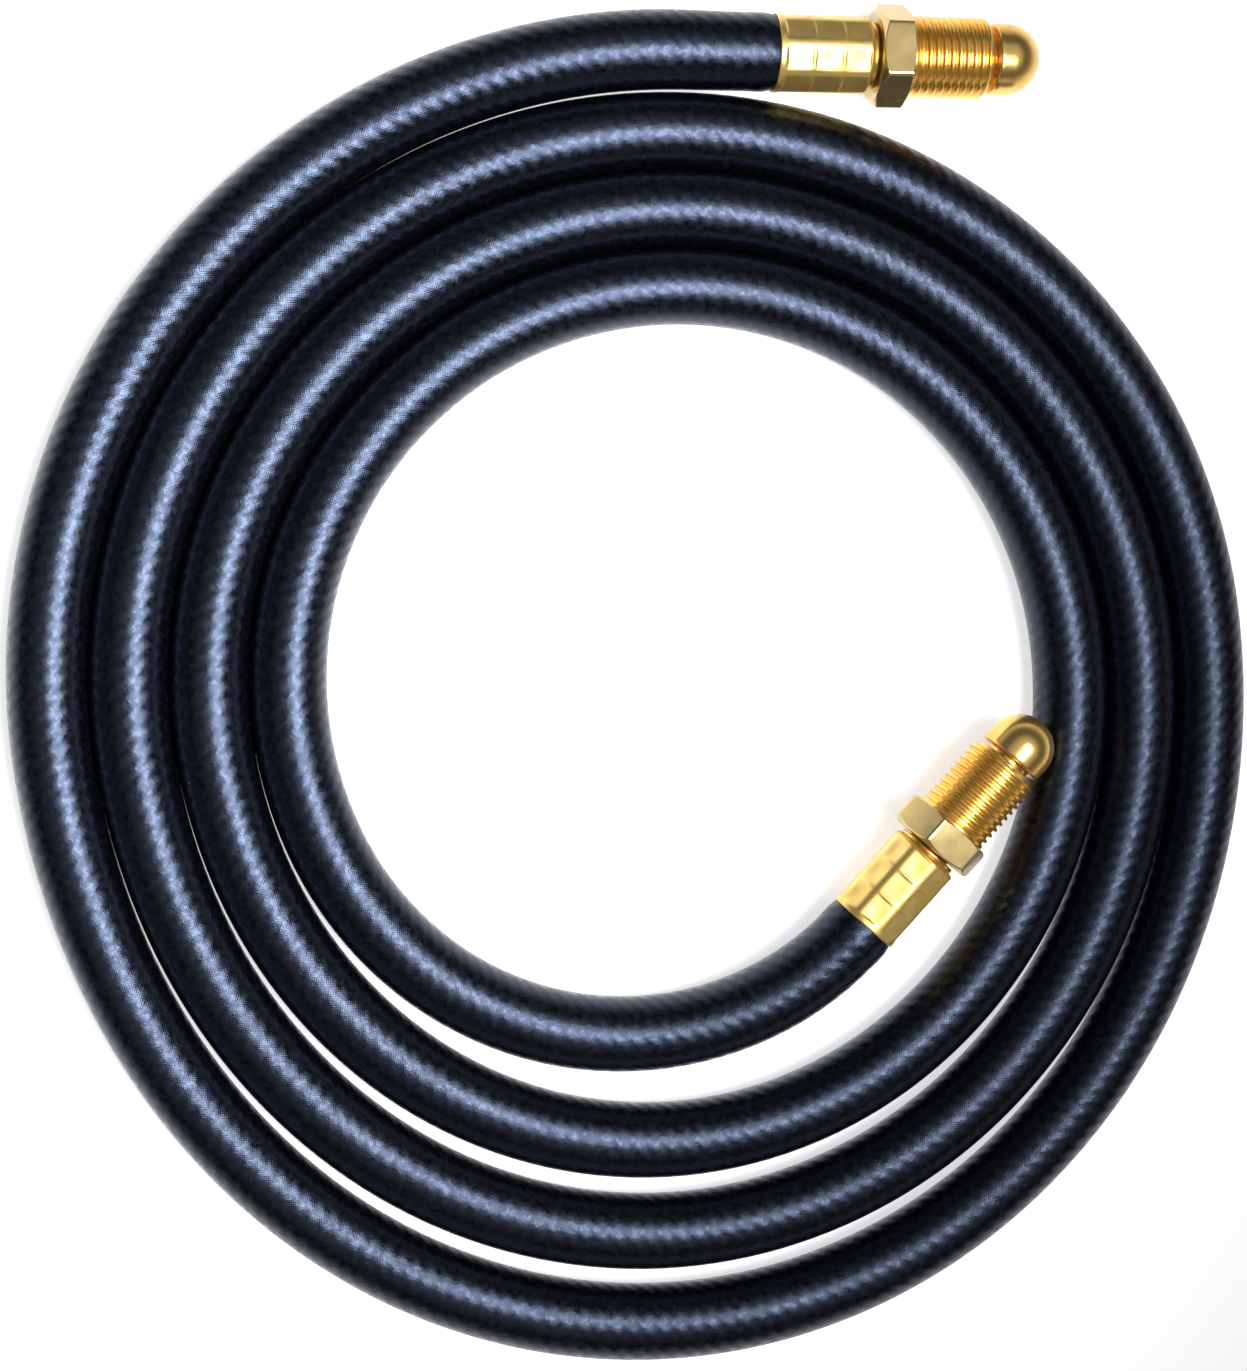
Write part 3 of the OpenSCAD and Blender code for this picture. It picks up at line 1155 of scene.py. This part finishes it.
@dataclass
class Fitting:
    """One end of the hose: ferrule, nipple and union nut."""

    end: str
    frame: EndFrame
    nut_turn: float
    mark_turn: float

    def build(self) -> list[bpy.types.Object]:
        """Makes the fitting's three pieces.

        Returns:
            The ferrule, the nipple and the nut.
        """
        pieces = [
            Ferrule(self.frame, mark_turn=self.mark_turn).build(
                f"{self.end}_crimped_ferrule", f"{self.end}_ferrule"
            ),
            Nipple(self.frame).build(f"{self.end}_bullet_nipple", f"{self.end}_nipple"),
            UnionNut(self.frame, self.nut_turn).build(
                f"{self.end}_union_nut", f"{self.end}_nut", f"{self.end}_nut"
            ),
        ]
        for piece in pieces:
            LOG.info("%s: %d faces", piece.name, len(piece.data.polygons))
        return pieces


# ---- Studio ----


@dataclass
class Studio:
    """Camera, pale floor, pale room and one soft lamp.

    Places and sizes are in mm, but the clip distances are in metres.
    """

    camera_at: Point = (-66.207, 23.940, 364.744)
    look_at: Point = (-5.949, 1.115, 6.848)
    lens: float = 52.294
    sensor: float = 36.0
    clip: Span = (0.01, 50.0)
    key_at: Point = (80.0, -5.0, 430.0)
    key_to: Point = (-150.0, 60.0, 0.0)
    key_size: float = 230.0
    key_watts: float = 0.80
    key_spread: float = 74.0
    light_tint: Colour = (0.95, 0.97, 1.0)
    floor_reach: float = 20000.0
    floor_drop: float = 0.05
    floor_colour: Colour = (0.86, 0.85, 0.84)
    floor_roughness: float = 0.32
    floor_gloss: float = 0.35
    glow: float = 0.66
    glow_colour: Colour = (0.98, 0.99, 1.0)
    sky: tuple[Span, ...] = (
        (0.0, 0.70),
        (0.12, 0.50),
        (0.34, 0.03),
        (0.60, 0.02),
        (0.86, 0.42),
        (1.0, 0.55),
    )

    def camera(self) -> None:
        """Makes the camera, with +Y up in its view."""
        eye, look = Vector(self.camera_at) * MM, Vector(self.look_at) * MM
        forward = (look - eye).normalized()
        right = forward.cross(Vector((0.0, 1.0, 0.0))).normalized()
        up = right.cross(forward)
        data = bpy.data.cameras.new("camera")
        data.sensor_fit = "AUTO"
        data.sensor_width = self.sensor
        data.lens = self.lens
        data.clip_start, data.clip_end = self.clip
        camera = bpy.data.objects.new("camera", data)
        turn = Matrix((right, up, -forward)).transposed().to_4x4()
        camera.matrix_world = Matrix.Translation(eye) @ turn
        bpy.context.scene.collection.objects.link(camera)
        bpy.context.scene.camera = camera

    def lamp(self) -> None:
        """Makes the round soft lamp, unseen by the camera."""
        data = bpy.data.lights.new("key", "AREA")
        data.shape = "DISK"
        data.size = self.key_size * MM
        data.energy = self.key_watts
        data.spread = math.radians(self.key_spread)
        data.color = self.light_tint
        lamp = bpy.data.objects.new("key", data)
        at, to = Vector(self.key_at), Vector(self.key_to)
        aim = (to - at).to_track_quat("-Z", "Y")
        lamp.matrix_world = Matrix.Translation(at * MM) @ aim.to_matrix().to_4x4()
        lamp.visible_camera = False
        bpy.context.scene.collection.objects.link(lamp)

    def floor(self) -> None:
        """Makes the floor: white, with a soft gloss, and bright behind the part."""
        reach, z = self.floor_reach * MM, -self.floor_drop * MM
        mesh = bpy.data.meshes.new("floor")
        corners = [(-reach, -reach, z), (reach, -reach, z), (reach, reach, z), (-reach, reach, z)]
        mesh.from_pydata(corners, [], [(0, 1, 2, 3)])
        floor = bpy.data.objects.new("floor", mesh)
        bpy.context.scene.collection.objects.link(floor)
        sh = Shader("floor_white")
        sh.set(
            base_color=self.floor_colour,
            roughness=self.floor_roughness,
            specular_ior_level=self.floor_gloss,
        )
        glow = sh.tree.nodes.new("ShaderNodeEmission")
        sh.feed(glow.inputs["Color"], self.glow_colour)
        path = sh.tree.nodes.new("ShaderNodeLightPath")
        seen = sh.math("MAXIMUM", path.outputs["Is Camera Ray"], path.outputs["Is Glossy Ray"])
        seen = sh.math("MAXIMUM", seen, path.outputs["Is Transmission Ray"])
        sh.join(sh.math("MULTIPLY", seen, self.glow), glow.inputs["Strength"])
        both = sh.tree.nodes.new("ShaderNodeAddShader")
        sh.join(sh.surface.outputs[0], both.inputs[0])
        sh.join(glow.outputs[0], both.inputs[1])
        sh.join(both.outputs[0], sh.output.inputs["Surface"])
        mesh.materials.append(sh.material)

    def world(self) -> None:
        """Makes the room: pale walls near the floor, dim above, a soft ceiling.

        Each step of `sky` is the upward part of a direction, from level (0) to
        straight up (1), and the strength of the light from there.
        """
        world = bpy.data.worlds.new("room")
        world.use_nodes = True
        tree = world.node_tree
        back = tree.nodes["Background"]
        split = tree.nodes.new("ShaderNodeSeparateXYZ")
        ramp = tree.nodes.new("ShaderNodeValToRGB")
        ramp.color_ramp.interpolation = "EASE"
        stops = ramp.color_ramp.elements
        for (place, _), stop in zip(self.sky, [stops[0], stops[1]]):
            stop.position = place
        for place, _ in self.sky[2:]:
            stops.new(place)
        for (_, strength), stop in zip(self.sky, stops):
            stop.color = (*(strength * part for part in self.light_tint), 1.0)
        way = tree.nodes.new("ShaderNodeTexCoord").outputs["Generated"]
        tree.links.new(way, split.inputs[0])
        tree.links.new(split.outputs[2], ramp.inputs[0])
        tree.links.new(ramp.outputs[0], back.inputs["Color"])
        bpy.context.scene.world = world

    def build(self) -> None:
        """Makes the whole studio."""
        self.camera()
        self.floor()
        self.world()
        self.lamp()
        bpy.context.scene.view_settings.view_transform = "Standard"


def main() -> None:
    """Builds the hose and its fittings in their studio."""
    logging.basicConfig(level=logging.INFO, format="%(name)s: %(message)s")
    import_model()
    studio = Studio()
    studio.build()
    route = HoseRoute()
    hose_maker = Hose(route)
    hose = hose_maker.build()
    Fitting("outer", route.outer_end(), nut_turn=3.0, mark_turn=20.0).build()
    inner = Fitting("inner", route.inner_end(), nut_turn=2.0, mark_turn=30.0).build()
    hose_maker.declare()
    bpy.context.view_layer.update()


if __name__ == "__main__":
    main()
